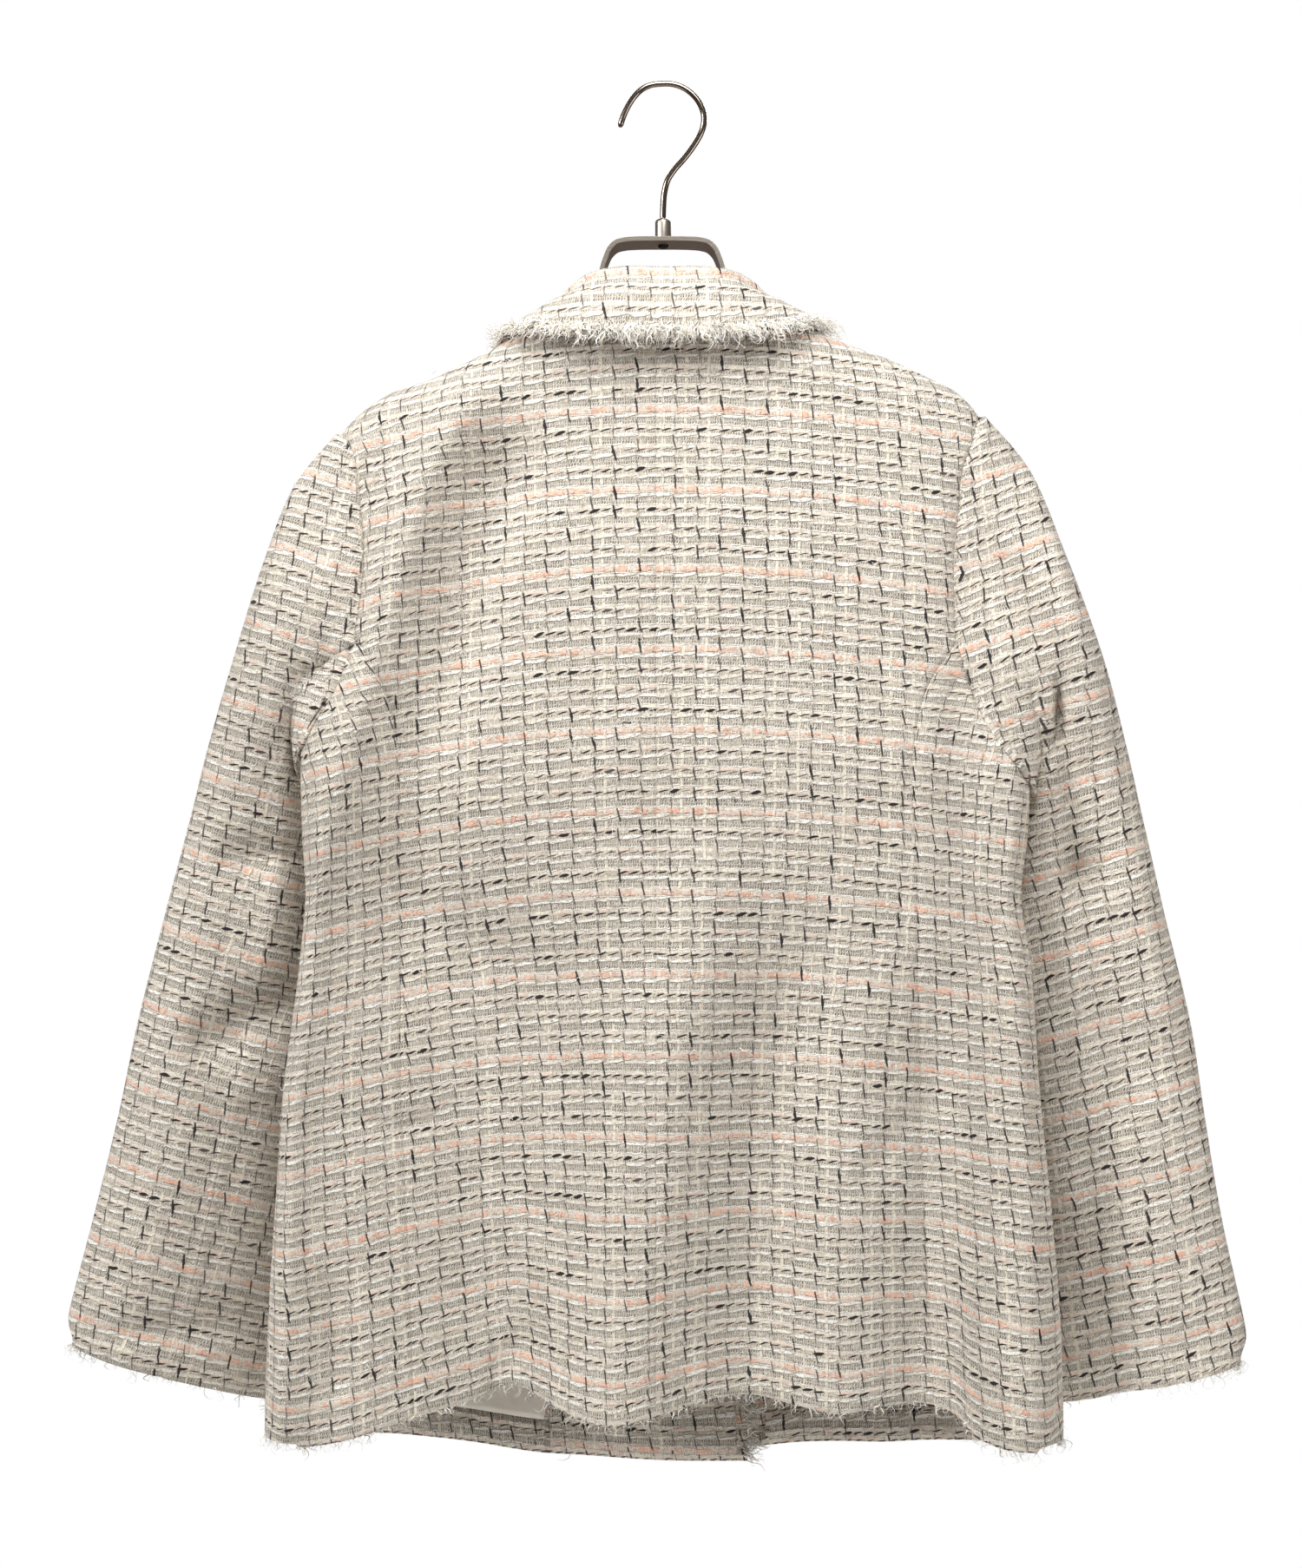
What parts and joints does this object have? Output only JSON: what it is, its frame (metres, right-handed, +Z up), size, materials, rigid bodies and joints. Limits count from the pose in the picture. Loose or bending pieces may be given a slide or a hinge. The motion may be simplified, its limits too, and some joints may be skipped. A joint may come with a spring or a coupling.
{
  "type": "cropped tweed jacket on a steel hanger",
  "caption": "Collared tweed jacket with frayed edges and wide sleeves, worn cloth in cut-and-sewn panels, hung on a bent steel hanger with a wire hook",
  "frame": {"origin": "the point inside the top of the hanger's hook where it bears on its rail", "axes": "+Z is up, the jacket's back faces -Y and its front +Y, and the wearer's right is at +X"},
  "size_m": [0.682, 0.121, 0.7999],
  "materials": {
    "tweed": "cream and grey wool tweed with peach bands and broken black threads",
    "satin_lining": "cream satin",
    "fringe_yarn": "frayed cream and grey yarn ends",
    "brushed_steel": "brushed stainless steel",
    "dark_steel": "dark rivet head"
  },
  "bodies": {
    "root": {"back_left": "tweed", "back_right": "tweed", "side_left": "tweed", "side_right": "tweed", "front_left": "tweed", "front_right": "tweed", "sleeve_upper_left": "tweed", "sleeve_under_left": "tweed", "sleeve_upper_right": "tweed", "sleeve_under_right": "tweed", "collar": "tweed", "front_facing_left": "tweed", "hem_facing_left": "tweed", "hem_facing_right": "tweed", "lining_left": "satin_lining", "collar_fringe": "fringe_yarn", "front_fringe_left": "fringe_yarn", "front_fringe_right": "fringe_yarn", "hanger_band": "brushed_steel", "hook": "brushed_steel", "ferrule": "brushed_steel", "stem_rivet": "dark_steel"}
  },
  "joints": []
}
